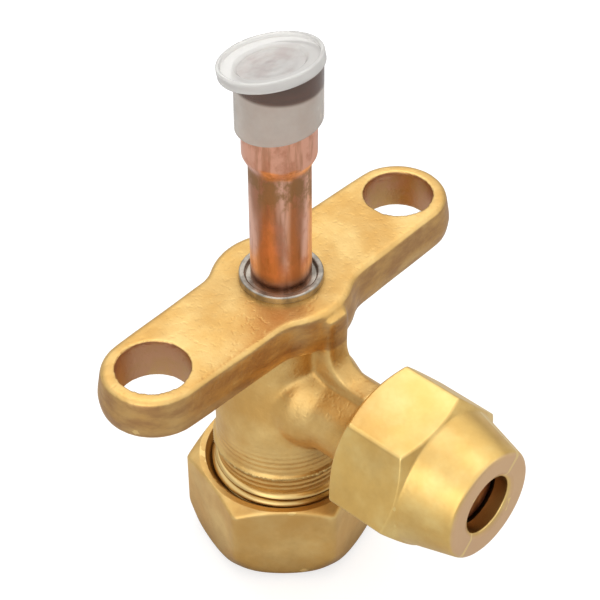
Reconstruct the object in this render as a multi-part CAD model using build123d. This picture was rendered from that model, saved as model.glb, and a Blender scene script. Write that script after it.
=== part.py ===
"""Two-way service valve for a quarter-inch refrigerant line.

A forged brass body hangs from a two-hole plate. A copper stub tube is brazed
into the plate on the body's axis, a flare connection leaves the body's side
under a flare nut, and a hexagon-socket stem closes the seat from below, under
a hexagonal stem cap.

Millimetres. The origin lies on the stub tube's axis at the plate's upper face.
+Z runs up the tube, +X along the line of the two plate holes, and the flare
connection points to -Y. Along the flare connection, "out" is the distance
from the body's axis.
"""
from build123d import *
import os
from math import radians, sqrt, tan

os.makedirs("parts", exist_ok=True)

# ---------------------------------------------------------------- clearances
RUN_GAP = 0.04        # radial gap of a shaft or a thread in its bore
FACE_GAP = 0.05       # gap between two faces that close on each other
BRAZE_GAP = 0.05      # radial gap that the brazing alloy fills
ENVELOPE_MARGIN = 0.1  # how far a turned envelope clears a hexagon's corners

# --------------------------------------------------------------------- plate
HOLE_PITCH = 37.0
HOLE_RADIUS = 3.75
PLATE_THICKNESS = 4.8
LOBE_RADIUS = 5.7     # rounded ends, about each hole, at the parting line
WAIST_HALF = 6.2      # half width where the flanks reach the middle
BULGE_RADIUS = 7.9    # round middle, over the body
BULGE_BLEND = 4.0
PARTING_DEPTH = 3.0   # of the parting line, below the upper face
PLATE_DRAFT = 9.0     # degrees, both ways from the parting line
PLATE_EDGE = 0.5

# --------------------------------------------------------------- copper tube
TUBE_RADIUS = 3.175   # quarter-inch line
TUBE_WALL = 0.75
TUBE_TOP = 25.0
SOCKET_DEPTH = 7.0
BELL_START = 14.9     # height at which the swaged end begins
BELL_TAPER = 1.3
BELL_GROWTH = 0.62    # how much the swage opens the tube's radius
TUBE_BEND = 1.0       # rounding where the taper starts and ends

# ---------------------------------------------------------------- braze ring
BRAZE_RADIUS = 4.4
BRAZE_HEIGHT = 0.8
BRAZE_LIP = 0.62      # width of the raised lip
BRAZE_VALLEY = 0.3    # height of the metal between lip and tube
BRAZE_SLOPE = 0.15    # how far the lip's inner side leans in
BRAZE_ROUND = 0.2

# -------------------------------------------------------------- forged body
NECKED_RADIUS = 6.0   # barrel just under the plate
BARREL_RADIUS = 7.4   # barrel round the stem
BARREL_SWELL_TOP = -9.5
BARREL_SWELL_END = -17.0
BARREL_BLEND = 6.0
BOSS_THREAD_RADIUS = 8.0
BOSS_THREAD_TOP = -22.6
BOSS_END = -32.8
THREAD_CHAMFER = 0.6   # at the start and the end of the cap's thread
UNDER_PLATE_BLEND = 0.85

# ---------------------------------------------------------- flare connection
PORT_HEIGHT = -14.1
PORT_BORE_RADIUS = 2.4
NECK_RADIUS = 4.7
NECK_END = 13.4
NECK_ROOT_GROWTH = 1.0      # how much wider the neck is where it leaves the barrel
NECK_ROOT_REACH = 5.4
NECK_ROOT_END = 7.9
NECK_ROOT_BLEND = 1.2
FLARE_THREAD_RADIUS = 5.556
FLARE_TIP = 25.2
FLARE_LAND = 0.5            # flat ring between the cone and the bore

# ---------------------------------------------------------------- web (rib)
WEB_THICKNESS = 3.0
WEB_REACH = 8.2       # how far out the upright face stands
WEB_ROOT = 4.0        # how far out it starts, inside the barrel
WEB_TOP = -0.9
WEB_RIDGE = 5.8       # height of the ridge over the connection's axis
WEB_BLEND = 3.0
WEB_EDGE = 0.5

# -------------------------------------------------------- bores for the stem
SEAT_TOP = -9.9
SEAT_WIDTH = 0.7
CHAMBER_RADIUS = 4.8
STEM_THREAD_RADIUS = 4.5
STEM_THREAD_TOP = -17.6
STEM_THREAD_END = -23.1
GLAND_RADIUS = 5.3
RING_GROOVE_TOP = -31.0
RING_GROOVE_WIDTH = 1.0
RING_GROOVE_RADIUS = 5.9
BOSS_CHAMFER = 0.4

# ---------------------------------------------------------------------- stem
STEM_TRAVEL = 4.0
STEM_TIP_RADIUS = 1.7
STEM_HEAD_RADIUS = 3.4
STEM_HEAD_LENGTH = 1.5
STEM_NECK_RADIUS = 2.7
STEM_THREAD_LEAD_IN = 1.4   # thread that stands in the chamber when closed
STEM_CHAMFER = 0.3
GLAND_STEP = 0.2            # from the end of the body's thread
STEM_SOCKET_AF = 5.0
STEM_SOCKET_DEPTH = 4.0
ORING_SECTION = 1.3         # height of the ring's gland in the radius
ORING_GROOVE_WIDTH = 1.7
ORING_GROOVE_OFFSET = 0.95  # from the stem's outer end

# ------------------------------------------------------------ retaining ring
RING_REACH = 0.9            # how far it stands into the bore
RING_PLAY = 0.03            # gap between the ring and its groove
RING_OPENING = 40.0         # degrees

# ------------------------------------------------------------------ stem cap
CAP_AF = 19.0
CAP_TURN = 12.9             # degrees from +X to the first corner
CAP_MOUTH = -25.7
CAP_MOUTH_RADIUS = 8.75
CAP_RIM_RADIUS = 9.4        # where the corner chamfer meets the mouth
CAP_FLOOR_THICKNESS = 2.8
CAP_BASE_RADIUS = 8.0
CAP_BASE_ROUND = 3.4        # height of the rounding over the base
CAP_SHOULDER_RADIUS = 9.9   # halfway round the rounding
CAP_FOOT_BLEND = 1.0
CAP_SIDE_BLEND = 2.0
GASKET_THICKNESS = 0.8
GASKET_INNER = 5.9
GASKET_MARGIN = 0.45        # from the cap's thread

# ----------------------------------------------------------------- flare nut
NUT_AF = 15.9
NUT_TURN = 12.0             # degrees from +X to the first corner
NUT_REAR = 14.0
NUT_HEX_END = 22.4
NUT_END = 28.5
NUT_RIM_RADIUS = 7.9        # where the rear corner chamfer starts
NOSE_BASE_RADIUS = 7.7
NOSE_END_RADIUS = 6.1
NOSE_ROUND = 0.7
NUT_BORE_RADIUS = 3.3
NUT_LEAD_IN = 0.5           # chamfer at the mouth of the thread
NUT_BORE_CHAMFER = 0.3
BONNET_THICKNESS = 0.9
BONNET_MARGIN = 0.4         # from the nut's thread
BONNET_BEND = 0.3

# ------------------------------------------------------------------ dust cap
SKIRT_GAP = 0.15            # round the tube's swaged end
SKIRT_WALL = 0.45
SKIRT_BOTTOM = 20.0
HEM_TILT = 9.0              # degrees; the soft cap sits crooked
BRIM_TILT = 12.5
BRIM_SHIFT = 0.6
LEAN_HEADING = 132.9        # degrees from +X, the way the skirt's hem leans
BRIM_HEADING = 95.0         # degrees from +X, the way the brim leans
BRIM_RADIUS = 5.3
BRIM_THICKNESS = 0.75
BRIM_LIP = 0.45
BRIM_RING_RADIUS = 3.7
BRIM_DISH = 0.35
BRIM_ROUND = 0.18

# -------------------------------------------------------------- worked out
bell_radius = TUBE_RADIUS + BELL_GROWTH
bell_top = BELL_START + BELL_TAPER
socket_radius = TUBE_RADIUS + BRAZE_GAP
tube_bore = TUBE_RADIUS - TUBE_WALL
chamber_top = SEAT_TOP - SEAT_WIDTH
seat_radius = PORT_BORE_RADIUS + SEAT_WIDTH
ring_groove_end = RING_GROOVE_TOP - RING_GROOVE_WIDTH
stem_end = RING_GROOVE_TOP + FACE_GAP + STEM_TRAVEL
cap_floor = BOSS_END - GASKET_THICKNESS - 2 * FACE_GAP
cap_base = cap_floor - CAP_FLOOR_THICKNESS
cap_bore = BOSS_THREAD_RADIUS + RUN_GAP
nut_bore = FLARE_THREAD_RADIUS + RUN_GAP
cone_sum = PORT_BORE_RADIUS + FLARE_LAND + FLARE_TIP   # radius + out, on the 45 degree cone
cone_gap = FACE_GAP * sqrt(2)
bonnet_step = BONNET_THICKNESS * sqrt(2)

port = Plane(origin=(0, 0, PORT_HEIGHT), x_dir=(1, 0, 0), z_dir=(0, -1, 0))


def outline(*corners):
    """A face through (radius, height) corners; a third number rounds that corner."""
    face = make_face(Polyline([corner[:2] for corner in corners], close=True))
    for corner in corners:
        if len(corner) == 3:
            spot = Vector(corner[0], corner[1], 0)
            nearest = min(face.vertices(), key=lambda v: (v.center() - spot).length)
            face = fillet(nearest, corner[2])
    return face


def turned(*corners):
    """A solid of revolution about Z from (radius, height) corners."""
    return revolve(Plane.XZ * outline(*corners), Axis.Z)


def hexagon(across_flats, turn):
    """A hexagon by its width across flats, with its first corner turned from +X."""
    return Rot(0, 0, turn) * RegularPolygon(across_flats / 2, 6, major_radius=False)


def save(node, shape):
    """Write one named node to its STEP file."""
    export_step(shape, f"parts/{node}.step")


# --------------------------------------------------------------- forged body
def plate():
    """Two-hole plate, drafted both ways from the parting line."""
    half = HOLE_PITCH / 2
    flank = Polygon(
        (half, LOBE_RADIUS), (0, WAIST_HALF), (-half, LOBE_RADIUS),
        (-half, -LOBE_RADIUS), (0, -WAIST_HALF), (half, -LOBE_RADIUS), align=None,
    )
    lobes = [Pos(side * half, 0) * Circle(LOBE_RADIUS) for side in (-1, 1)]
    shape = flank + lobes[0] + lobes[1] + Circle(BULGE_RADIUS)
    corners = shape.vertices().filter_by(lambda v: 1 < abs(v.X) < half / 2)
    shape = Pos(0, 0, -PARTING_DEPTH) * fillet(corners, BULGE_BLEND)
    upper = extrude(shape, PARTING_DEPTH, taper=PLATE_DRAFT)
    lower = extrude(shape, PARTING_DEPTH - PLATE_THICKNESS, taper=PLATE_DRAFT)
    upper = fillet(upper.faces().sort_by(Axis.Z)[-1].edges(), PLATE_EDGE)
    lower = fillet(lower.faces().sort_by(Axis.Z)[0].edges(), PLATE_EDGE)
    return upper + lower


def barrel():
    """Round body under the plate, down to the end of the stem cap's thread."""
    under = -PLATE_THICKNESS
    crest = BOSS_THREAD_RADIUS
    root = NECKED_RADIUS + UNDER_PLATE_BLEND + FACE_GAP
    return turned(
        (0, under / 2), (root, under / 2), (root, under), (NECKED_RADIUS, under, UNDER_PLATE_BLEND),
        (NECKED_RADIUS, BARREL_SWELL_TOP, BARREL_BLEND), (BARREL_RADIUS, BARREL_SWELL_END, BARREL_BLEND),
        (BARREL_RADIUS, BOSS_THREAD_TOP + THREAD_CHAMFER), (crest, BOSS_THREAD_TOP),
        (crest, BOSS_END + THREAD_CHAMFER), (crest - THREAD_CHAMFER, BOSS_END), (0, BOSS_END),
    )


def neck():
    """Neck, thread and 45 degree cone of the flare connection."""
    thread_end = cone_sum - FLARE_THREAD_RADIUS
    thread_rise = FLARE_THREAD_RADIUS - NECK_RADIUS
    root = NECK_RADIUS + NECK_ROOT_GROWTH
    tip = PORT_BORE_RADIUS + FLARE_LAND
    return port * turned(
        (0, 0), (root, 0), (root, NECK_ROOT_REACH),
        (NECK_RADIUS, NECK_ROOT_END, NECK_ROOT_BLEND), (NECK_RADIUS, NECK_END - thread_rise),
        (FLARE_THREAD_RADIUS, NECK_END), (FLARE_THREAD_RADIUS, thread_end),
        (tip, FLARE_TIP), (0, FLARE_TIP),
    )


def web():
    """Upright web from the plate to the neck, with its foot along the neck."""
    ridge = PORT_HEIGHT + WEB_RIDGE
    side = make_face(
        Polyline((-WEB_REACH, ridge + WEB_BLEND), (-WEB_REACH, WEB_TOP), (-WEB_ROOT, WEB_TOP),
                 (-WEB_ROOT, PORT_HEIGHT), (-NECK_END, PORT_HEIGHT), (-NECK_END, ridge),
                 (-WEB_REACH - WEB_BLEND, ridge))
        + RadiusArc((-WEB_REACH, ridge + WEB_BLEND), (-WEB_REACH - WEB_BLEND, ridge), WEB_BLEND)
    )
    slab = extrude(Plane.YZ * side, WEB_THICKNESS / 2, both=True)
    outer = slab.edges().filter_by(lambda e: e.center().Y < -WEB_REACH + 0.01
                                   and abs(abs(e.center().X) - WEB_THICKNESS / 2) < 0.01
                                   and e.center().Z > PORT_HEIGHT + 0.1)
    return fillet(outer.filter_by(lambda e: e.center().Y > -NECK_END + 0.01), WEB_EDGE)


def bores():
    """Everything machined out of the body along its own axis."""
    return turned(
        (0, 1), (socket_radius, 1), (socket_radius, -SOCKET_DEPTH),
        (PORT_BORE_RADIUS, -SOCKET_DEPTH), (PORT_BORE_RADIUS, SEAT_TOP),
        (seat_radius, chamber_top), (CHAMBER_RADIUS, chamber_top),
        (CHAMBER_RADIUS, STEM_THREAD_TOP), (STEM_THREAD_RADIUS + RUN_GAP, STEM_THREAD_TOP),
        (STEM_THREAD_RADIUS + RUN_GAP, STEM_THREAD_END), (GLAND_RADIUS, STEM_THREAD_END),
        (GLAND_RADIUS, RING_GROOVE_TOP), (RING_GROOVE_RADIUS, RING_GROOVE_TOP),
        (RING_GROOVE_RADIUS, ring_groove_end), (GLAND_RADIUS, ring_groove_end),
        (GLAND_RADIUS, BOSS_END + BOSS_CHAMFER), (GLAND_RADIUS + 2 * BOSS_CHAMFER, BOSS_END - BOSS_CHAMFER),
        (0, BOSS_END - BOSS_CHAMFER),
    )


def valve_body():
    """The forging with its machined holes."""
    forging = plate() + barrel() + neck() + web()
    forging -= bores()
    forging -= port * Cylinder(PORT_BORE_RADIUS, FLARE_TIP + 1,
                               align=(Align.CENTER, Align.CENTER, Align.MIN))
    for side in (-1, 1):
        forging -= Pos(side * HOLE_PITCH / 2, 0, -PLATE_THICKNESS / 2) * Cylinder(
            HOLE_RADIUS, PLATE_THICKNESS + 2)
    return forging


# ---------------------------------------------------------------- copper side
def copper_tube():
    """Stub tube with its swaged end, seated on the socket's shoulder."""
    return turned(
        (tube_bore, -SOCKET_DEPTH), (TUBE_RADIUS, -SOCKET_DEPTH), (TUBE_RADIUS, BELL_START, TUBE_BEND),
        (bell_radius, bell_top, TUBE_BEND), (bell_radius, TUBE_TOP), (bell_radius - TUBE_WALL, TUBE_TOP),
        (bell_radius - TUBE_WALL, bell_top, TUBE_BEND), (tube_bore, BELL_START, TUBE_BEND),
    )


def braze_ring():
    """Ring of brazing alloy round the tube, with a raised outer lip."""
    lip = BRAZE_RADIUS - BRAZE_LIP
    return turned(
        (TUBE_RADIUS, 0), (BRAZE_RADIUS, 0), (BRAZE_RADIUS, BRAZE_HEIGHT, BRAZE_ROUND),
        (lip, BRAZE_HEIGHT, BRAZE_ROUND), (lip - BRAZE_SLOPE, BRAZE_VALLEY), (TUBE_RADIUS, BRAZE_VALLEY),
    )


def dust_cap():
    """Soft plug cap, skirt straight on the tube, brim and hem pressed crooked."""
    lean = Rot(0, 0, LEAN_HEADING)
    inner = bell_radius + SKIRT_GAP
    outer = inner + SKIRT_WALL
    shift = lean * Pos(BRIM_SHIFT, 0, 0) * Rot(0, 0, BRIM_HEADING - LEAN_HEADING)
    # the brim's lowest inner edge stays clear of the tube's mouth
    brim_height = TUBE_TOP + 2 * FACE_GAP + (bell_radius + BRIM_SHIFT) * tan(radians(BRIM_TILT))
    brim_place = shift * Pos(0, 0, brim_height) * Rot(0, BRIM_TILT, 0)
    dish = BRIM_THICKNESS - BRIM_DISH
    brim = brim_place * turned(
        (0, 0), (BRIM_RADIUS, 0, BRIM_ROUND), (BRIM_RADIUS, BRIM_THICKNESS + BRIM_LIP, BRIM_ROUND),
        (BRIM_RADIUS - BRIM_LIP, BRIM_THICKNESS + BRIM_LIP, BRIM_ROUND),
        (BRIM_RADIUS - BRIM_LIP, BRIM_THICKNESS), (BRIM_RING_RADIUS, BRIM_THICKNESS, BRIM_ROUND),
        (BRIM_RING_RADIUS - BRIM_DISH, dish), (0, dish),
    )
    hem_place = lean * Pos(0, 0, SKIRT_BOTTOM) * Rot(0, HEM_TILT, 0)
    # a plain sleeve, longer than needed, that two leaning planes cut to length
    low, high = SKIRT_BOTTOM - outer, brim_height + outer
    skirt = turned((inner, low), (outer, low), (outer, high), (inner, high))
    block = Box(4 * outer, 4 * outer, 2 * outer, align=(Align.CENTER, Align.CENTER, Align.MIN))
    below = hem_place * Rot(180, 0, 0) * block
    above = brim_place * Pos(0, 0, dish / 2) * block
    return skirt - below - above + brim


# ----------------------------------------------------------------- stem side
def valve_stem():
    """Closing stem: cone, neck, thread, gland for the O-ring and key socket."""
    cone = PORT_BORE_RADIUS - SEAT_TOP - cone_gap     # radius - height, on the 45 degree cone
    thread_top = STEM_THREAD_TOP + STEM_THREAD_LEAD_IN
    gland_top = STEM_THREAD_END - GLAND_STEP
    land = GLAND_RADIUS - RUN_GAP
    groove_end = stem_end + ORING_GROOVE_OFFSET
    groove_top = groove_end + ORING_GROOVE_WIDTH
    head_end = STEM_HEAD_RADIUS - cone
    stem = turned(
        (0, -(cone - STEM_TIP_RADIUS)), (STEM_TIP_RADIUS, -(cone - STEM_TIP_RADIUS)),
        (STEM_HEAD_RADIUS, -(cone - STEM_TIP_RADIUS) - (STEM_HEAD_RADIUS - STEM_TIP_RADIUS)),
        (STEM_HEAD_RADIUS, head_end - 2 * STEM_HEAD_RADIUS + 2 * STEM_TIP_RADIUS),
        (STEM_NECK_RADIUS, head_end - 2 * STEM_HEAD_RADIUS + 2 * STEM_TIP_RADIUS),
        (STEM_NECK_RADIUS, thread_top), (STEM_THREAD_RADIUS, thread_top),
        (STEM_THREAD_RADIUS, gland_top), (land, gland_top), (land, groove_top),
        (GLAND_RADIUS - ORING_SECTION, groove_top), (GLAND_RADIUS - ORING_SECTION, groove_end),
        (land, groove_end), (land, stem_end + STEM_CHAMFER), (land - STEM_CHAMFER, stem_end), (0, stem_end),
    )
    key = Pos(0, 0, stem_end) * extrude(hexagon(STEM_SOCKET_AF, 0), STEM_SOCKET_DEPTH)
    return stem - key


def stem_o_ring():
    """O-ring in the stem's groove."""
    middle = stem_end + ORING_GROOVE_OFFSET + ORING_GROOVE_WIDTH / 2
    section = ORING_SECTION / 2 - RUN_GAP
    return Pos(0, 0, middle) * Torus(GLAND_RADIUS - ORING_SECTION / 2, section)


def stem_snap_ring():
    """Open retaining ring that keeps the stem from being unscrewed."""
    ring = turned(
        (GLAND_RADIUS - RING_REACH, RING_GROOVE_TOP - RING_PLAY),
        (RING_GROOVE_RADIUS - RING_PLAY, RING_GROOVE_TOP - RING_PLAY),
        (RING_GROOVE_RADIUS - RING_PLAY, ring_groove_end + RING_PLAY),
        (GLAND_RADIUS - RING_REACH, ring_groove_end + RING_PLAY),
    )
    reach = 2 * RING_GROOVE_RADIUS
    spread = reach * tan(radians(RING_OPENING / 2))
    opening = extrude(Polygon((0, 0), (-spread, reach), (spread, reach), align=None),
                      RING_GROOVE_WIDTH + 2)
    return ring - Pos(0, 0, ring_groove_end - 1) * opening


def stem_cap():
    """Hexagonal cap over the stem, rounded underneath; the valve stands on it."""
    corner = CAP_AF / sqrt(3)
    rim_drop = (corner - CAP_RIM_RADIUS) * tan(radians(30))
    prism = Pos(0, 0, cap_base) * extrude(hexagon(CAP_AF, CAP_TURN), CAP_MOUTH - cap_base)
    outer = corner + ENVELOPE_MARGIN
    envelope = turned(
        (0, cap_base), (CAP_BASE_RADIUS, cap_base, CAP_FOOT_BLEND),
        (CAP_SHOULDER_RADIUS, cap_base + CAP_BASE_ROUND / 3, CAP_SIDE_BLEND),
        (outer, cap_base + CAP_BASE_ROUND, CAP_SIDE_BLEND),
        (outer, CAP_MOUTH - rim_drop), (CAP_RIM_RADIUS, CAP_MOUTH), (0, CAP_MOUTH),
    )
    sink = CAP_MOUTH_RADIUS - cap_bore
    hollow = turned(
        (0, CAP_MOUTH + 1), (CAP_MOUTH_RADIUS, CAP_MOUTH + 1), (CAP_MOUTH_RADIUS, CAP_MOUTH),
        (cap_bore, CAP_MOUTH - sink), (cap_bore, cap_floor), (0, cap_floor),
    )
    return (prism & envelope) - hollow


def stem_cap_gasket():
    """Flat sealing ring between the body's end and the cap's floor."""
    top = BOSS_END - FACE_GAP
    return turned(
        (GASKET_INNER, top), (cap_bore - GASKET_MARGIN, top),
        (cap_bore - GASKET_MARGIN, top - GASKET_THICKNESS), (GASKET_INNER, top - GASKET_THICKNESS),
    )


# ---------------------------------------------------------------- flare side
def flare_nut():
    """Forged flare nut: hexagon with chamfered corners, round tapered nose."""
    corner = NUT_AF / sqrt(3)
    chamfer = tan(radians(30))
    apothem = NUT_AF / 2
    inner_sum = cone_sum + 2 * cone_gap + bonnet_step
    outer = corner + ENVELOPE_MARGIN
    prism = Pos(0, 0, NUT_REAR) * extrude(hexagon(NUT_AF, NUT_TURN), NUT_END - NUT_REAR)
    envelope = turned(
        (0, NUT_REAR), (NUT_RIM_RADIUS, NUT_REAR),
        (outer, NUT_REAR + (outer - NUT_RIM_RADIUS) * chamfer),
        (outer, NUT_HEX_END - (outer - apothem) * chamfer),
        (NOSE_BASE_RADIUS, NUT_HEX_END + (apothem - NOSE_BASE_RADIUS) * chamfer),
        (NOSE_END_RADIUS, NUT_END, NOSE_ROUND), (0, NUT_END),
    )
    hollow = turned(
        (0, NUT_REAR), (nut_bore + NUT_LEAD_IN, NUT_REAR), (nut_bore, NUT_REAR + NUT_LEAD_IN),
        (nut_bore, inner_sum - nut_bore), (NUT_BORE_RADIUS, inner_sum - NUT_BORE_RADIUS),
        (NUT_BORE_RADIUS, NUT_END - NUT_BORE_CHAMFER),
        (NUT_BORE_RADIUS + NUT_BORE_CHAMFER, NUT_END), (0, NUT_END),
    )
    # the hexagon is drawn in the connection's plane, whose X axis is the valve's X
    return port * ((prism & envelope) - hollow)


def flare_bonnet():
    """Copper sealing cap pressed between the flare cone and the nut."""
    inner = cone_sum + cone_gap
    outer = inner + bonnet_step
    rim = nut_bore - BONNET_MARGIN
    tip = FLARE_TIP + FACE_GAP
    return port * turned(
        (0, tip), (inner - tip, tip), (rim, inner - rim), (rim, outer - rim),
        (outer - tip - BONNET_THICKNESS, tip + BONNET_THICKNESS, BONNET_BEND), (0, tip + BONNET_THICKNESS),
    )


for make in (valve_body, copper_tube, braze_ring, dust_cap, valve_stem, stem_o_ring,
             stem_snap_ring, stem_cap, stem_cap_gasket, flare_nut, flare_bonnet):
    save(make.__name__, make())
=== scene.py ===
"""Looks of the service valve: forged brass body, copper stub, flare nut, stem cap.

Lengths are written in millimetres and turned into metres by MM. The floor is
where the stem cap stands. "Out" is the distance from the body's axis along the
flare connection, which points to -Y.
"""

import math

import bpy
import numpy as np
from mathutils import Matrix, Vector


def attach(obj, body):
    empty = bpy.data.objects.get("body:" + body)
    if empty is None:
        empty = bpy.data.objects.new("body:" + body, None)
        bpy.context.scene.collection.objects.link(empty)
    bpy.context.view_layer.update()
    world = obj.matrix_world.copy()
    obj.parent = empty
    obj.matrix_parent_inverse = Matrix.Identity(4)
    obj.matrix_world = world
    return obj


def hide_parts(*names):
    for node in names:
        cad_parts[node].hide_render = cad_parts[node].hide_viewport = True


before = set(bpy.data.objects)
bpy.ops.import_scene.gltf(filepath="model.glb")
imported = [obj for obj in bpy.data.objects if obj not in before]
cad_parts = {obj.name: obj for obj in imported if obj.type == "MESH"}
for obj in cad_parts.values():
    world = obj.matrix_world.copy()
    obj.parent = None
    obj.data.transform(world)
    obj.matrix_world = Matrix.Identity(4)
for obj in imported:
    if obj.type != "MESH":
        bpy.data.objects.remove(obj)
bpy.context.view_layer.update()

MM = 0.001
TAU = 2 * math.pi

# ------------------------------------------------------- sizes of the pieces
PLATE_THICKNESS = 4.8
HOLE_PITCH = 37.0
HOLE_RADIUS = 3.75
BOSS_UNDERCUT = -22.9
BOSS_THREAD = {"crest": 8.0, "root": 7.35, "pitch": 1.0, "start": -24.7, "end": -32.4}
FLARE_THREAD = {"crest": 5.556, "root": 4.85, "pitch": 1.27, "start": 13.7, "end": 22.6}
NECK_END = 13.4
PORT_HEIGHT = -14.1
CAP_AF, CAP_TURN = 19.0, 12.9
CAP_MOUTH, CAP_BASE, CAP_FLOOR = -25.7, -36.5, -33.7
CAP_BORE = 8.04
NUT_AF, NUT_TURN = 15.9, 12.0
NUT_REAR, NUT_HEX_END, NUT_END = 14.0, 22.4, 28.5
NUT_BORE = 5.596
BELL_START, TUBE_TOP = 14.9, 25.0
BRIM_TILT, BRIM_HEADING = 12.5, 95.0      # degrees, and degrees from +X
BRIM_MIDDLE = (-0.408, 0.440, 26.01)
FLOOR_HEIGHT = CAP_BASE
CAMERA_TURN = (-47.125, 41.458, -0.391)   # degrees: azimuth, elevation, roll
CAMERA_AIM = (1.10, -1.588, -3.109)
CAMERA_DISTANCE = 215.02
FOCAL_LENGTH = 36.0 * 2065.2 / 600.0      # of a lens on a 36 mm sensor


# ============================================================ node group kit
def node_group(name, inputs, outputs):
    """An empty shader group with its sockets, and its two end nodes."""
    tree = bpy.data.node_groups.new(name, "ShaderNodeTree")
    for label, kind, value in inputs:
        socket = tree.interface.new_socket(label, in_out="INPUT", socket_type=kind)
        socket.default_value = value
    for label, kind in outputs:
        tree.interface.new_socket(label, in_out="OUTPUT", socket_type=kind)
    start = tree.nodes.new("NodeGroupInput")
    end = tree.nodes.new("NodeGroupOutput")
    return tree, start, end


FLOAT = "NodeSocketFloat"


class Wires:
    """Short words for adding and joining nodes in one tree."""

    def __init__(self, tree):
        self.tree = tree

    def add(self, kind, **settings):
        node = self.tree.nodes.new(kind)
        for key, value in settings.items():
            setattr(node, key, value)
        return node

    def put(self, socket, value):
        if isinstance(value, bpy.types.NodeSocket):
            self.tree.links.new(value, socket)
        else:
            socket.default_value = value

    def math(self, operation, a, b=0.0, c=0.0, clamp=False):
        node = self.add("ShaderNodeMath", operation=operation, use_clamp=clamp)
        for socket, value in zip(node.inputs, (a, b, c)):
            self.put(socket, value)
        return node.outputs[0]

    def ramp(self, value, low, high, out_low=0.0, out_high=1.0):
        node = self.add("ShaderNodeMapRange", interpolation_type="SMOOTHSTEP")
        for socket, item in zip(node.inputs, (value, low, high, out_low, out_high)):
            self.put(socket, item)
        return node.outputs[0]

    def mix(self, amount, first, second):
        node = self.add("ShaderNodeMix", data_type="RGBA")
        self.put(node.inputs[0], amount)
        self.put(node.inputs[6], first)
        self.put(node.inputs[7], second)
        return node.outputs[2]

    def noise(self, scale, detail=3.0, rough=0.55, place=None, stretch=None):
        node = self.add("ShaderNodeTexNoise")
        place = place or self.place()
        if stretch:
            mapping = self.add("ShaderNodeMapping")
            self.put(mapping.inputs["Vector"], place)
            mapping.inputs["Scale"].default_value = stretch
            place = mapping.outputs[0]
        self.put(node.inputs["Vector"], place)
        self.put(node.inputs["Scale"], scale)
        self.put(node.inputs["Detail"], detail)
        self.put(node.inputs["Roughness"], rough)
        return node.outputs["Fac"]

    def place(self):
        return self.add("ShaderNodeTexCoord").outputs["Object"]

    def axes(self, vector):
        """The X, Y and Z of a vector."""
        node = self.add("ShaderNodeSeparateXYZ")
        self.put(node.inputs[0], vector)
        return node.outputs

    def distance(self, a, b):
        """How far a point lies from an axis, from its two offsets."""
        return self.math("SQRT", self.math("ADD", self.math("MULTIPLY", a, a), self.math("MULTIPLY", b, b)))

    def group(self, tree, **values):
        node = self.add("ShaderNodeGroup", node_tree=tree)
        for label, value in values.items():
            self.put(node.inputs[label.replace("_", " ")], value)
        return node


# ===================================================== shared surface effects
def blasted_grain():
    """Pitted, slightly rolling skin of a forging that was blasted clean."""
    tree, start, end = node_group(
        "blasted_grain",
        [("Pit Size", FLOAT, 0.25), ("Depth", FLOAT, 1.0), ("Swell", FLOAT, 1.0)],
        [("Height", FLOAT), ("Patches", FLOAT)],
    )
    w = Wires(tree)
    scale = w.math("DIVIDE", 1000.0, start.outputs["Pit Size"])
    fine = w.noise(scale, 2.0, 0.6)
    broad = w.noise(w.math("MULTIPLY", scale, 0.13), 3.0, 0.5)
    pits = w.ramp(w.noise(w.math("MULTIPLY", scale, 0.45), 1.0), 0.30, 0.46, 0.0, 1.0)
    height = w.math("MULTIPLY", w.math("ADD", w.math("MULTIPLY", fine, 0.6), w.math("MULTIPLY", pits, 0.5)),
                    start.outputs["Depth"])
    height = w.math("ADD", height, w.math("MULTIPLY", broad, start.outputs["Swell"]))
    w.put(end.inputs["Height"], height)
    w.put(end.inputs["Patches"], w.noise(170.0, 4.0, 0.6))
    return tree


def edges_and_creases():
    """Masks of convex edges, broken up, made brighter partly by wear and partly as a painted highlight, and
    of concave creases.
    """
    tree, start, end = node_group(
        "edges_and_creases",
        [("Reach", FLOAT, 0.5), ("Break Up", FLOAT, 0.5), ("Grain Scale", FLOAT, 900.0)],
        [("Edge", FLOAT), ("Crease", FLOAT)],
    )
    w = Wires(tree)
    point = w.add("ShaderNodeNewGeometry").outputs["Pointiness"]
    broken = w.math("MULTIPLY", w.math("SUBTRACT", w.noise(start.outputs["Grain Scale"], 3.0), 0.5),
                    w.math("MULTIPLY", start.outputs["Break Up"], 0.06))
    level = w.math("ADD", point, broken)
    high = w.math("ADD", 0.515, w.math("MULTIPLY", start.outputs["Reach"], 0.08))
    low = w.math("SUBTRACT", 0.485, w.math("MULTIPLY", start.outputs["Reach"], 0.08))
    w.put(end.inputs["Edge"], w.ramp(level, 0.51, high))
    w.put(end.inputs["Crease"], w.ramp(level, 0.49, low))
    return tree


def turning_marks():
    """Fine rings left by a lathe, along an axis line and across end faces."""
    tree, start, end = node_group(
        "turning_marks",
        [("Along", FLOAT, 0.0), ("Around", FLOAT, 0.0), ("Spacing", FLOAT, 0.12)],
        [("Rings", FLOAT)],
    )
    w = Wires(tree)
    rate = w.math("DIVIDE", 1000.0, start.outputs["Spacing"])
    blur = w.math("MULTIPLY", w.noise(260.0, 2.0), 1.3)
    line = w.math("ADD", w.math("MULTIPLY", start.outputs["Along"], rate), blur)
    ring = w.math("ADD", w.math("MULTIPLY", start.outputs["Around"], rate), blur)
    both = w.math("ADD", w.math("SINE", line), w.math("SINE", w.math("MULTIPLY", ring, 0.83)))
    w.put(end.inputs["Rings"], w.math("MULTIPLY_ADD", both, 0.25, 0.5))
    return tree


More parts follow.
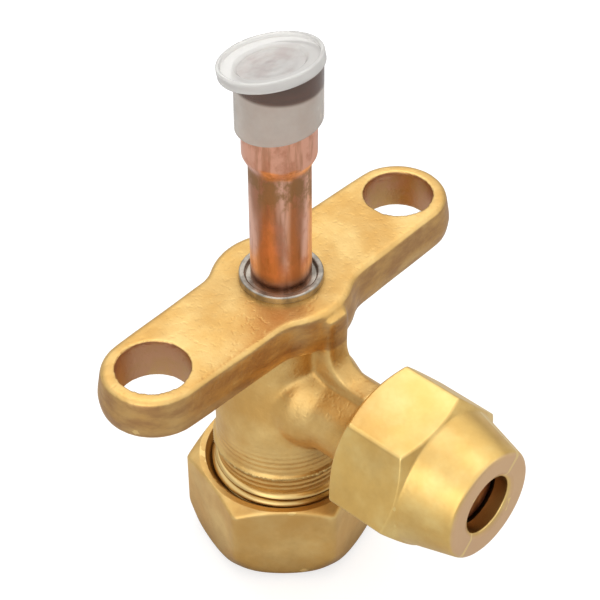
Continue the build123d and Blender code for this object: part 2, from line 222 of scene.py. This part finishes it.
def shop_stain():
    """Cloudy dull film and small dark specks left by washing and handling."""
    tree, start, end = node_group(
        "shop_stain",
        [("Cloud Scale", FLOAT, 120.0), ("Speck Scale", FLOAT, 1500.0), ("Speck Amount", FLOAT, 0.3)],
        [("Cloud", FLOAT), ("Specks", FLOAT)],
    )
    w = Wires(tree)
    w.put(end.inputs["Cloud"], w.ramp(w.noise(start.outputs["Cloud Scale"], 5.0, 0.62), 0.38, 0.66))
    limit = w.math("SUBTRACT", 0.86, w.math("MULTIPLY", start.outputs["Speck Amount"], 0.2))
    specks = w.ramp(w.noise(start.outputs["Speck Scale"], 2.0, 0.5), limit, w.math("ADD", limit, 0.04))
    w.put(end.inputs["Specks"], specks)
    return tree


GRAIN, EDGE_MASKS, MARKS, STAIN = blasted_grain(), edges_and_creases(), turning_marks(), shop_stain()


# ================================================================= materials
COPPER_PINK = (0.92, 0.53, 0.39, 1)
COPPER_BROWN = (0.40, 0.155, 0.07, 1)


def new_material(name):
    material = bpy.data.materials.new(name)
    material.use_nodes = True
    shader = material.node_tree.nodes["Principled BSDF"]
    return material, shader, Wires(material.node_tree)


def shade(colour, share):
    """A darker colour, with a share of each channel."""
    return [channel * share for channel in colour[:3]] + [1]


def bump(w, shader, height, strength, distance):
    node = w.add("ShaderNodeBump")
    node.inputs["Strength"].default_value = strength
    node.inputs["Distance"].default_value = distance
    w.put(node.inputs["Height"], height)
    w.put(shader.inputs["Normal"], node.outputs[0])


def radius_about(w, place, axis):
    """Distance from the body's axis ("Z") or from the flare connection's axis ("Y")."""
    x, y, z = w.axes(place)
    if axis == "Y":
        y = w.math("SUBTRACT", z, PORT_HEIGHT * MM)
    return w.distance(x, y)


def painted_occlusion_shade(w, reach):
    """Mask of corners and undersides that nearby pieces occlude, for painted shade."""
    node = w.add("ShaderNodeAmbientOcclusion", samples=6)
    node.inputs["Distance"].default_value = reach * MM
    return w.ramp(node.outputs["AO"], 0.92, 0.30)


def plate_sides(w, place):
    """Masks of the plate's side, darkened partly as the rough band where the flash was trimmed off and
    partly as painted shade, and of the walls of its holes, where shade is painted.
    """
    x, y, z = w.axes(place)
    upright = w.axes(w.add("ShaderNodeNewGeometry").outputs["Normal"])[2]
    steep = w.ramp(w.math("ABSOLUTE", upright), 0.62, 0.38)
    high = w.ramp(z, -(PLATE_THICKNESS + 0.1) * MM, -(PLATE_THICKNESS - 0.5) * MM)
    across = w.math("SUBTRACT", w.math("ABSOLUTE", x), HOLE_PITCH / 2 * MM)
    from_hole = w.distance(across, y)
    side = w.math("MULTIPLY", w.math("MULTIPLY", steep, high),
                  w.ramp(from_hole, (HOLE_RADIUS + 0.2) * MM, (HOLE_RADIUS + 0.9) * MM))
    hole = w.math("MULTIPLY", steep, w.ramp(from_hole, (HOLE_RADIUS + 0.5) * MM, (HOLE_RADIUS + 0.2) * MM))
    return side, hole


def brass(name, base, dark, bright, rough, pit=0.25, depth=1.0, axis=None, spacing=0.13,
          edge_reach=0.5, strength=0.35, stain=0.35, painted_shade=0.85, forged=False, faced=False):
    """Brass with a colour that varies, painted shade in creases and in occluded corners and undersides,
    edges made brighter partly by wear and partly as a painted highlight, and either blast or lathe texture.
    """
    material, shader, w = new_material(name)
    place = w.place()
    grain = w.group(GRAIN, Pit_Size=pit, Depth=depth)
    edge_and_crease = w.group(EDGE_MASKS, Reach=edge_reach)
    film = w.group(STAIN)
    colour = w.mix(w.ramp(grain.outputs["Patches"], 0.35, 0.7), base, bright)
    colour = w.mix(w.math("MULTIPLY", film.outputs["Cloud"], stain), colour, dark)
    # painted shade: the colour is darker in concave creases
    colour = w.mix(w.math("MULTIPLY", edge_and_crease.outputs["Crease"], 0.65), colour, dark)
    # painted shade: darker where nearby pieces and the floor occlude
    colour = w.mix(w.math("MULTIPLY", painted_occlusion_shade(w, 8.0), painted_shade), colour, shade(dark, 0.6))
    wear_and_highlight = edge_and_crease.outputs["Edge"]
    if forged:
        side, hole = plate_sides(w, place)
        wear_and_highlight = w.math("MULTIPLY", wear_and_highlight, w.math("SUBTRACT", 1.0, hole))
        # the plate's side is painted a patchy darker brown: partly its trimmed flash, partly painted shade
        side_mottle = w.ramp(w.noise(300.0, 4.0, 0.6, stretch=(1, 1, 2.5)), 0.3, 0.7, 0.5, 1.0)
        colour = w.mix(w.math("MULTIPLY", side, side_mottle), colour, (0.46, 0.25, 0.105, 1))
        # painted shade: the walls of the holes are painted a patchy darker brown
        hole_mottle = w.ramp(w.noise(420.0, 4.0, 0.6), 0.3, 0.65, 0.35, 1.0)
        colour = w.mix(w.math("MULTIPLY", hole, hole_mottle), colour, (0.62, 0.34, 0.19, 1))
    if faced:
        end = w.ramp(w.axes(place)[1], -(NUT_END - 0.3) * MM, -(NUT_END - 0.05) * MM)
        colour = w.mix(w.math("MULTIPLY", end, 0.75), colour, (0.80, 0.52, 0.33, 1))
    colour = w.mix(w.math("MULTIPLY", film.outputs["Specks"], 0.5), colour, shade(dark, 0.45))
    # edges made brighter: partly wear, partly a painted highlight
    colour = w.mix(w.math("MULTIPLY", wear_and_highlight, 0.7), colour, bright)
    height = grain.outputs["Height"]
    if forged:
        height_up = w.axes(place)[2]
        turned = w.math("MULTIPLY", w.ramp(height_up, -18.2 * MM, -20.5 * MM),
                        w.ramp(radius_about(w, place, "Z"), 8.4 * MM, 7.9 * MM))
        rings = w.math("SINE", w.math("ADD", w.math("MULTIPLY", height_up, 9000.0), w.noise(300.0)))
        height = w.math("ADD", height, w.math("MULTIPLY", w.math("MULTIPLY", rings, turned), 0.8))
    if axis:
        line = w.axes(place)[2 if axis == "Z" else 1]
        marks = w.group(MARKS, Along=line, Around=radius_about(w, place, axis), Spacing=spacing)
        height = w.math("ADD", w.math("MULTIPLY", height, 0.35),
                        w.math("MULTIPLY", marks.outputs["Rings"], 0.9))
    w.put(shader.inputs["Base Color"], colour)
    shader.inputs["Metallic"].default_value = 1.0
    roughness = w.math("MULTIPLY_ADD", grain.outputs["Patches"], 0.16, rough)
    roughness = w.math("SUBTRACT", roughness, w.math("MULTIPLY", wear_and_highlight, 0.08), clamp=True)
    w.put(shader.inputs["Roughness"], roughness)
    bump(w, shader, height, strength, 0.00006)
    return material


FORGED_BRASS = brass("forged_brass", (0.88, 0.545, 0.175, 1), (0.50, 0.24, 0.055, 1), (0.97, 0.69, 0.28, 1),
                     0.34, pit=0.30, strength=0.5, forged=True)
NUT_BRASS = brass("nut_brass", (0.90, 0.59, 0.185, 1), (0.54, 0.28, 0.07, 1), (0.98, 0.74, 0.30, 1),
                  0.30, pit=0.5, depth=0.5, strength=0.3, faced=True)
CAP_BRASS = brass("cap_brass", (0.88, 0.55, 0.18, 1), (0.52, 0.26, 0.065, 1), (0.97, 0.70, 0.29, 1),
                  0.33, pit=0.3, depth=0.7, strength=0.28)
THREAD_BRASS = brass("thread_brass", (0.74, 0.45, 0.14, 1), (0.30, 0.15, 0.035, 1), (0.93, 0.67, 0.28, 1),
                     0.30, pit=0.4, depth=0.2, axis="Z", spacing=0.2, strength=0.1)
TURNED_BRASS = brass("turned_brass", (0.84, 0.57, 0.21, 1), (0.50, 0.28, 0.08, 1), (0.95, 0.73, 0.33, 1),
                     0.24, pit=0.4, depth=0.2, axis="Z", strength=0.15)


def drawn_copper():
    """Drawn tube: pink where abraded, broad brown streaks, olive heat stains below the bell."""
    material, shader, w = new_material("drawn_copper")
    x, y, z = w.axes(w.place())
    band = w.noise(300.0, 2.0, 0.5, stretch=(1, 1, 0.10))
    hair = w.noise(1300.0, 3.0, 0.6, stretch=(1, 1, 0.12))
    blotch = w.noise(620.0, 4.0, 0.62, stretch=(1, 1, 0.7))
    bell = w.ramp(z, (BELL_START - 0.6) * MM, (BELL_START + 1.0) * MM)
    below = w.math("SUBTRACT", 1.0, bell)
    colour = w.mix(w.ramp(band, 0.58, 0.42, 0.0, 0.85), COPPER_PINK, COPPER_BROWN)
    colour = w.mix(bell, colour, (0.88, 0.46, 0.32, 1))
    colour = w.mix(w.math("MULTIPLY", w.ramp(hair, 0.50, 0.68), 0.45), colour, (0.36, 0.145, 0.06, 1))
    colour = w.mix(w.ramp(blotch, 0.46, 0.66, 0.0, 0.7), colour, (0.60, 0.25, 0.15, 1))
    heat = w.math("MULTIPLY", w.ramp(z, 9.0 * MM, 12.5 * MM), w.ramp(blotch, 0.42, 0.56))
    heat = w.math("MULTIPLY", heat, below)
    colour = w.mix(w.math("MULTIPLY", heat, 0.6), colour, (0.27, 0.17, 0.055, 1))
    foot = w.ramp(z, 3.2 * MM, 0.8 * MM)
    colour = w.mix(w.math("MULTIPLY", foot, 0.5), colour, (0.24, 0.13, 0.07, 1))
    w.put(shader.inputs["Base Color"], colour)
    shader.inputs["Metallic"].default_value = 1.0
    w.put(shader.inputs["Roughness"], w.math("ADD", w.math("MULTIPLY_ADD", band, 0.14, 0.26),
                                              w.math("MULTIPLY", heat, 0.15)))
    dents = w.noise(330.0, 2.0, 0.5, stretch=(1, 1, 0.45))
    height = w.math("ADD", w.math("MULTIPLY", hair, 0.35), w.math("MULTIPLY", blotch, 0.5))
    height = w.math("ADD", height, w.math("MULTIPLY", dents, 2.4))
    bump(w, shader, height, 0.5, 0.00010)
    return material


def braze_alloy():
    """Silvery brazing alloy, tarnished in its valley."""
    material, shader, w = new_material("braze_alloy")
    cloud = w.noise(500.0, 4.0, 0.6)
    colour = w.mix(w.ramp(cloud, 0.38, 0.66), (0.60, 0.54, 0.46, 1), (0.30, 0.27, 0.23, 1))
    crease = w.group(EDGE_MASKS, Reach=0.8)
    colour = w.mix(w.math("MULTIPLY", crease.outputs["Crease"], 0.8), colour, (0.07, 0.05, 0.04, 1))
    w.put(shader.inputs["Base Color"], colour)
    shader.inputs["Metallic"].default_value = 1.0
    w.put(shader.inputs["Roughness"], w.math("MULTIPLY_ADD", cloud, 0.25, 0.26))
    bump(w, shader, w.noise(900.0, 3.0), 0.35, 0.00008)
    return material


def cap_plastic():
    """Milky polyethylene of the dust cap, with painted light: a whiter brim over a greyish-brown skirt, a
    painted reflection of the copper in the middle of the top, and a painted shadow where the gap above the
    tube's end would show dark through it.
    """
    material, shader, w = new_material("cap_plastic")
    x, y, z = w.axes(w.place())
    heading, tilt = math.radians(BRIM_HEADING), math.radians(BRIM_TILT)
    lean = (math.sin(tilt) * math.cos(heading), math.sin(tilt) * math.sin(heading), math.cos(tilt))
    level = w.math("SUBTRACT", z, BRIM_MIDDLE[2] * MM)
    for side, middle, share in ((x, BRIM_MIDDLE[0], lean[0]), (y, BRIM_MIDDLE[1], lean[1])):
        offset = w.math("SUBTRACT", side, middle * MM)
        level = w.math("ADD", level, w.math("MULTIPLY", offset, share / lean[2]))
    cloud = w.noise(420.0, 4.0, 0.6)
    across = w.math("SUBTRACT", x, BRIM_MIDDLE[0] * MM)
    along = w.math("SUBTRACT", y, BRIM_MIDDLE[1] * MM)
    out = w.distance(across, along)
    brim = w.ramp(level, -0.15 * MM, 0.05 * MM)
    middle = w.math("MULTIPLY", brim, w.ramp(out, 3.7 * MM, 3.1 * MM))
    above_tube = w.ramp(z, (TUBE_TOP - 0.6) * MM, (TUBE_TOP - 0.1) * MM)
    painted_shadow_band = w.math("MULTIPLY", above_tube, w.ramp(level, 0.0, -0.25 * MM))
    # painted light: the brim near white and the skirt greyish brown, standing in for the thicker brim
    # scattering more and the copper showing through the skirt
    colour = w.mix(cloud, (0.70, 0.60, 0.51, 1), (0.92, 0.87, 0.80, 1))
    colour = w.mix(brim, colour, (0.985, 0.97, 0.94, 1))
    # painted reflection: the copper tube under the middle of the top, as a patchy pinkish grey
    painted_tube_reflection = w.math("MULTIPLY", middle, w.ramp(cloud, 0.35, 0.65, 0.1, 0.8))
    colour = w.mix(painted_tube_reflection, colour, (0.80, 0.71, 0.67, 1))
    # painted shadow: dark where the gap between the tube's end and the brim would show through the plastic
    colour = w.mix(w.math("MULTIPLY", painted_shadow_band, 0.9), colour, (0.15, 0.07, 0.045, 1))
    w.put(shader.inputs["Base Color"], colour)
    w.put(shader.inputs["Roughness"], w.math("MULTIPLY_ADD", cloud, 0.12, 0.14))
    shader.inputs["IOR"].default_value = 1.48
    shader.inputs["Transmission Weight"].default_value = 0.5
    ripples = w.math("SINE", w.math("MULTIPLY", out, 5200.0))
    rings = w.math("MULTIPLY", ripples, w.math("MULTIPLY", middle, 1.5))
    bump(w, shader, w.math("ADD", w.noise(900.0, 3.0), rings), 0.3, 0.00006)
    return material


def dull(name, colour, second, rough, metallic=0.0, scale=500.0):
    """Rubber, dark steel or sealing plastic, with a mottled colour and fine texture."""
    material, shader, w = new_material(name)
    cloud = w.noise(scale, 4.0, 0.6)
    w.put(shader.inputs["Base Color"], w.mix(w.ramp(cloud, 0.35, 0.65), colour, second))
    shader.inputs["Metallic"].default_value = metallic
    w.put(shader.inputs["Roughness"], w.math("MULTIPLY_ADD", cloud, 0.2, rough))
    bump(w, shader, w.noise(scale * 3), 0.2, 0.00003)
    return material


COPPER = drawn_copper()
BRAZE = braze_alloy()
CAP_PLASTIC = cap_plastic()
SEAL_RUBBER = dull("seal_rubber", (0.02, 0.02, 0.02, 1), (0.05, 0.05, 0.05, 1), 0.45)
RING_STEEL = dull("ring_steel", (0.30, 0.31, 0.33, 1), (0.16, 0.16, 0.17, 1), 0.28, metallic=1.0)
GASKET_PLASTIC = dull("gasket_plastic", (0.80, 0.78, 0.72, 1), (0.70, 0.68, 0.60, 1), 0.4)


# =========================================================== mesh-making kit
def add_piece(name, points, faces, material, body, replaces=()):
    """A smooth-shaded piece from points in millimetres, riding on a body."""
    mesh = bpy.data.meshes.new(name)
    mesh.from_pydata((np.asarray(points, float) * MM).tolist(), [], faces)
    mesh.validate()
    return place_piece(name, mesh, material, body, replaces)


def place_piece(name, mesh, material, body, replaces=()):
    mesh.polygons.foreach_set("use_smooth", [True] * len(mesh.polygons))
    mesh.materials.clear()
    mesh.materials.append(material)
    piece = bpy.data.objects.new(name, mesh)
    bpy.context.scene.collection.objects.link(piece)
    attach(piece, body)
    if replaces:
        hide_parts(*replaces)
    return piece


def rounded(corners, step):
    """A closed profile with its marked corners rounded and its runs split to the step."""
    points = []
    count = len(corners)
    for i, corner in enumerate(corners):
        here = np.array(corner[:2], float)
        if len(corner) < 3:
            points.append(here)
            continue
        before = np.array(corners[i - 1][:2], float) - here
        after = np.array(corners[(i + 1) % count][:2], float) - here
        a, b = before / np.linalg.norm(before), after / np.linalg.norm(after)
        half = math.acos(max(-1, min(1, a @ b))) / 2
        cut = min(corner[2] / math.tan(half), np.linalg.norm(before) * 0.49, np.linalg.norm(after) * 0.49)
        start, end = here + a * cut, here + b * cut
        for t in np.linspace(0, 1, 7):
            points.append((1 - t) ** 2 * start + 2 * t * (1 - t) * here + t ** 2 * end)
    out = []
    for i, p in enumerate(points):
        q = points[(i + 1) % len(points)]
        pieces = max(1, math.ceil(np.linalg.norm(q - p) / step))
        out += [p + (q - p) * k / pieces for k in range(pieces)]
    return np.array(out)


def soft_min(a, b, width):
    """The smaller of two lengths, rounded off where they are within a width of each other."""
    h = np.clip(0.5 + 0.5 * (b - a) / width, 0, 1)
    return b + (a - b) * h - width * h * (1 - h)


def hexagon_radius(angle, across_flats, turn, edge):
    """Distance from a hexagon's middle to its side, with rounded corners."""
    inner = across_flats / 2
    local = (angle - math.radians(turn + 30) + math.pi / 6) % (math.pi / 3) - math.pi / 6
    near = inner / np.cos(local)
    beside = inner / np.cos(np.abs(local) - math.pi / 3)
    return soft_min(near, beside, edge)


def spun(profile, steps, across_flats=None, turn=0.0, edge=0.3):
    """Points and faces of a closed profile turned about Z, cut to a hexagon if one is given."""
    profile = np.asarray(profile, float)
    angles = np.arange(steps) * TAU / steps
    radius = np.repeat(profile[None, :, 0], steps, axis=0)
    if across_flats:
        side = hexagon_radius(angles, across_flats, turn, edge)[:, None]
        radius = soft_min(radius, side, edge)
    points = np.stack([radius * np.cos(angles)[:, None], radius * np.sin(angles)[:, None],
                       np.repeat(profile[None, :, 1], steps, axis=0)], axis=-1)
    count = len(profile)
    faces = []
    for i in range(steps):
        j = (i + 1) % steps
        for k in range(count):
            m = (k + 1) % count
            faces.append((i * count + k, j * count + k, j * count + m, i * count + m))
    return points.reshape(-1, 3), faces


def along_port(points):
    """Turns points made about Z into points about the flare connection's axis."""
    x, y, z = np.asarray(points).T
    return np.stack([x, -z, y + PORT_HEIGHT], axis=-1)


def screw_thread(crest, root, pitch, start, end, fade=0.8, steps=72, sink=0.25):
    """A helical ridge about Z, from start to end heights, fading out at both ends."""
    length = abs(end - start)
    sense = 1 if end > start else -1
    turns = length / pitch
    count = int(turns * steps)
    shape = [(-0.46, 0.0), (-0.09, 1.0), (0.09, 1.0), (0.46, 0.0)]
    points, faces = [], []
    for i in range(count + 1):
        t = i / steps
        angle = TAU * t
        grow = min(1.0, t / fade, (turns - t) / fade)
        middle = start + sense * pitch * t
        for offset, rise in shape:
            radius = root + (crest - root) * rise * grow
            points.append((radius * math.cos(angle), radius * math.sin(angle), middle + offset * pitch))
        for offset in (0.46, -0.46):
            points.append(((root - sink) * math.cos(angle), (root - sink) * math.sin(angle),
                           middle + offset * pitch))
    ring = len(shape) + 2
    for i in range(count):
        for k in range(ring):
            m = (k + 1) % ring
            faces.append((i * ring + k, (i + 1) * ring + k, (i + 1) * ring + m, i * ring + m))
    faces.append(tuple(range(ring))[::-1])
    faces.append(tuple(count * ring + k for k in range(ring)))
    return np.array(points), faces


# ================================================================ forged body
def fine_mesh(node, voxel):
    """A copy of a CAD node's mesh in millimetres, redrawn on an even grid."""
    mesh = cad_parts[node].data.copy()
    mesh.transform(Matrix.Scale(1 / MM, 4))
    holder = bpy.data.objects.new("holder", mesh)
    bpy.context.scene.collection.objects.link(holder)
    remesh = holder.modifiers.new("even", "REMESH")
    remesh.mode = "VOXEL"
    remesh.voxel_size = voxel
    graph = bpy.context.evaluated_depsgraph_get()
    made = bpy.data.meshes.new_from_object(holder.evaluated_get(graph))
    bpy.data.objects.remove(holder)
    return made


def relax(points, edges, weight, rounds):
    """Evens out a surface, each point by its own weight."""
    count = np.bincount(edges.ravel(), minlength=len(points))
    for _ in range(rounds):
        total = np.stack([
            np.bincount(edges[:, 0], points[edges[:, 1], i], len(points))
            + np.bincount(edges[:, 1], points[edges[:, 0], i], len(points)) for i in range(3)
        ], axis=-1)
        mean = total / np.maximum(count, 1)[:, None]
        points = points + weight[:, None] * (mean - points)
    return points


def forged_body():
    """The forging with softened corners, and its threaded ends cut down to the thread roots."""
    mesh = fine_mesh("valve_body", 0.23)
    points = np.zeros(len(mesh.vertices) * 3)
    mesh.vertices.foreach_get("co", points)
    points = points.reshape(-1, 3)
    edges = np.zeros(len(mesh.edges) * 2, int)
    mesh.edges.foreach_get("vertices", edges)
    edges = edges.reshape(-1, 2)

    x, y, z = points.T
    from_axis = np.hypot(x, y)
    from_port = np.hypot(x, z - PORT_HEIGHT)
    from_hole = np.minimum(np.hypot(x - HOLE_PITCH / 2, y), np.hypot(x + HOLE_PITCH / 2, y))
    machined = ((from_axis < 5.0) & (z < 0.5)) | (z < BOSS_UNDERCUT + 0.6) | (-y > NECK_END - 1)
    machined |= (from_hole < HOLE_RADIUS + 0.35) | (from_port < 3.0)
    weight = np.where(machined, 0.12, 0.5)
    points = relax(points, edges, weight, 10)

    x, y, z = points.T
    from_axis = np.hypot(x, y)
    boss = (z < BOSS_UNDERCUT + 0.4) & (from_axis > BOSS_THREAD["root"])
    scale = np.where(boss, BOSS_THREAD["root"] / np.maximum(from_axis, 1e-6), 1.0)
    x, y = x * scale, y * scale
    from_port = np.hypot(x, z - PORT_HEIGHT)
    flare = (-y > NECK_END - 0.2) & (from_port > FLARE_THREAD["root"]) & (-y < 24)
    scale = np.where(flare, FLARE_THREAD["root"] / np.maximum(from_port, 1e-6), 1.0)
    x, z = x * scale, PORT_HEIGHT + (z - PORT_HEIGHT) * scale
    points = np.stack([x, y, z], axis=-1)

    mesh.vertices.foreach_set("co", (points * MM).ravel())
    mesh.update()
    return place_piece("forged_body", mesh, FORGED_BRASS, "body", ["valve_body"])


def threads():
    points, faces = screw_thread(**BOSS_THREAD)
    add_piece("boss_thread", points, faces, THREAD_BRASS, "body")
    points, faces = screw_thread(**FLARE_THREAD)
    add_piece("flare_thread", along_port(points), faces, THREAD_BRASS, "body")


# ================================================================== hexagons
def stem_cap():
    corner = CAP_AF / math.sqrt(3)
    profile = rounded([
        (0.02, CAP_BASE), (8.0, CAP_BASE, 1.0), (9.9, CAP_BASE + 1.13, 2.0),
        (corner + 0.1, CAP_BASE + 3.4, 2.0), (corner + 0.1, CAP_MOUTH - 0.96), (9.4, CAP_MOUTH, 0.15),
        (8.75, CAP_MOUTH, 0.1), (CAP_BORE, CAP_MOUTH - 0.7), (CAP_BORE, CAP_FLOOR), (0.02, CAP_FLOOR),
    ], 0.24)
    points, faces = spun(profile, 288, CAP_AF, CAP_TURN, 0.5)
    add_piece("hexagon_cap", points, faces, CAP_BRASS, "stem_cap", ["stem_cap"])


def nut_outline():
    corner = NUT_AF / math.sqrt(3)
    slope = math.tan(math.radians(30))
    inner = NUT_AF / 2
    return rounded([
        (NUT_BORE + 0.5, NUT_REAR, 0.1), (7.9, NUT_REAR, 0.12),
        (corner + 0.1, NUT_REAR + (corner + 0.1 - 7.9) * slope),
        (corner + 0.1, NUT_HEX_END - (corner + 0.1 - inner) * slope),
        (7.7, NUT_HEX_END + (inner - 7.7) * slope, 0.5),
        (6.1, NUT_END, 0.7), (3.9, NUT_END, 0.12), (3.3, NUT_END - 0.3), (3.3, 26.57, 0.1),
        (NUT_BORE, 24.2), (NUT_BORE, NUT_REAR + 0.5),
    ], 0.16)


def flare_nut():
    points, faces = spun(nut_outline(), 300, NUT_AF, NUT_TURN, 0.3)
    add_piece("hexagon_nut", along_port(points), faces, NUT_BRASS, "flare_nut", ["flare_nut"])


# ==================================================================== staging
def floor():
    """Pale floor that keeps the valve's shadow and shows white beyond it."""
    mesh = bpy.data.meshes.new("floor")
    reach = 6.0
    height = FLOOR_HEIGHT * MM
    mesh.from_pydata([(-reach, -reach, height), (reach, -reach, height), (reach, reach, height),
                      (-reach, reach, height)], [], [(0, 1, 2, 3)])
    ground = bpy.data.objects.new("floor", mesh)
    bpy.context.scene.collection.objects.link(ground)
    material, shader, w = new_material("pale_floor")
    shader.inputs["Base Color"].default_value = (0.50, 0.50, 0.50, 1)
    shader.inputs["Roughness"].default_value = 0.9
    shader.inputs["Specular IOR Level"].default_value = 0.0
    path = w.add("ShaderNodeLightPath").outputs
    seen = w.math("ADD", path["Is Camera Ray"], path["Is Transmission Ray"], clamp=True)
    glow = w.math("MAXIMUM", w.math("MULTIPLY", seen, 0.66),
                  w.math("MULTIPLY", path["Is Glossy Ray"], 0.10))
    shader.inputs["Emission Color"].default_value = (1, 1, 1, 1)
    w.put(shader.inputs["Emission Strength"], glow)
    mesh.materials.append(material)


def light(name, spot, target, size, power, tint=(1, 1, 1)):
    lamp = bpy.data.lights.new(name, "AREA")
    lamp.shape = "RECTANGLE"
    lamp.size, lamp.size_y = size
    lamp.energy = power
    lamp.color = tint
    holder = bpy.data.objects.new(name, lamp)
    holder.location = Vector(spot) * MM
    aim = (Vector(target) - Vector(spot)).to_track_quat("-Z", "Y")
    holder.rotation_euler = aim.to_euler()
    bpy.context.scene.collection.objects.link(holder)


def studio():
    """Soft light from above and behind, a broad fill from the front left."""
    world = bpy.data.worlds.new("studio")
    bpy.context.scene.world = world
    world.use_nodes = True
    w = Wires(world.node_tree)
    back = world.node_tree.nodes["Background"]
    path = w.add("ShaderNodeLightPath").outputs
    height = w.axes(w.add("ShaderNodeTexCoord").outputs["Generated"])[2]
    sky = w.ramp(height, -0.05, 0.6, 0.28, 1.02)
    seen = w.math("ADD", path["Is Camera Ray"], path["Is Transmission Ray"], clamp=True)
    back.inputs["Color"].default_value = (1, 1, 1, 1)
    w.put(back.inputs["Strength"], w.math("MAXIMUM", sky, seen))
    middle = (0, -5, -12)
    light("overhead", (60, 80, 330), middle, (0.30, 0.30), 0.20)
    light("left_bank", (-330, -120, 120), middle, (0.22, 0.36), 0.24)
    light("right_bank", (260, -260, 60), middle, (0.10, 0.30), 0.05)


def camera():
    """Long lens, high on the flare side."""
    azimuth, elevation, roll = map(math.radians, CAMERA_TURN)
    away = Vector((math.sin(azimuth) * math.cos(elevation), -math.cos(azimuth) * math.cos(elevation),
                   math.sin(elevation)))
    level = (-away).cross(Vector((0, 0, 1))).normalized()
    upright = level.cross(-away)
    right = level * math.cos(roll) + upright * math.sin(roll)
    up = -level * math.sin(roll) + upright * math.cos(roll)
    lens = bpy.data.cameras.new("camera")
    lens.sensor_width = 36.0
    lens.lens = FOCAL_LENGTH
    lens.clip_start, lens.clip_end = 0.01, 50.0
    eye = bpy.data.objects.new("camera", lens)
    turn = Matrix((right, up, away)).transposed().to_4x4()
    eye.matrix_world = Matrix.Translation((Vector(CAMERA_AIM) + away * CAMERA_DISTANCE) * MM) @ turn
    bpy.context.scene.collection.objects.link(eye)
    bpy.context.scene.camera = eye
    bpy.context.scene.view_settings.view_transform = "Standard"


# ==================================================================== the lot
camera()
studio()
floor()
forged_body()
threads()
stem_cap()
flare_nut()

for node, material in {
    "copper_tube": COPPER, "braze_ring": BRAZE, "dust_cap": CAP_PLASTIC, "valve_stem": TURNED_BRASS,
    "stem_o_ring": SEAL_RUBBER, "stem_snap_ring": RING_STEEL,
    "stem_cap_gasket": GASKET_PLASTIC, "flare_bonnet": COPPER,
}.items():
    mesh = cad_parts[node].data
    mesh.materials.clear()
    mesh.materials.append(material)
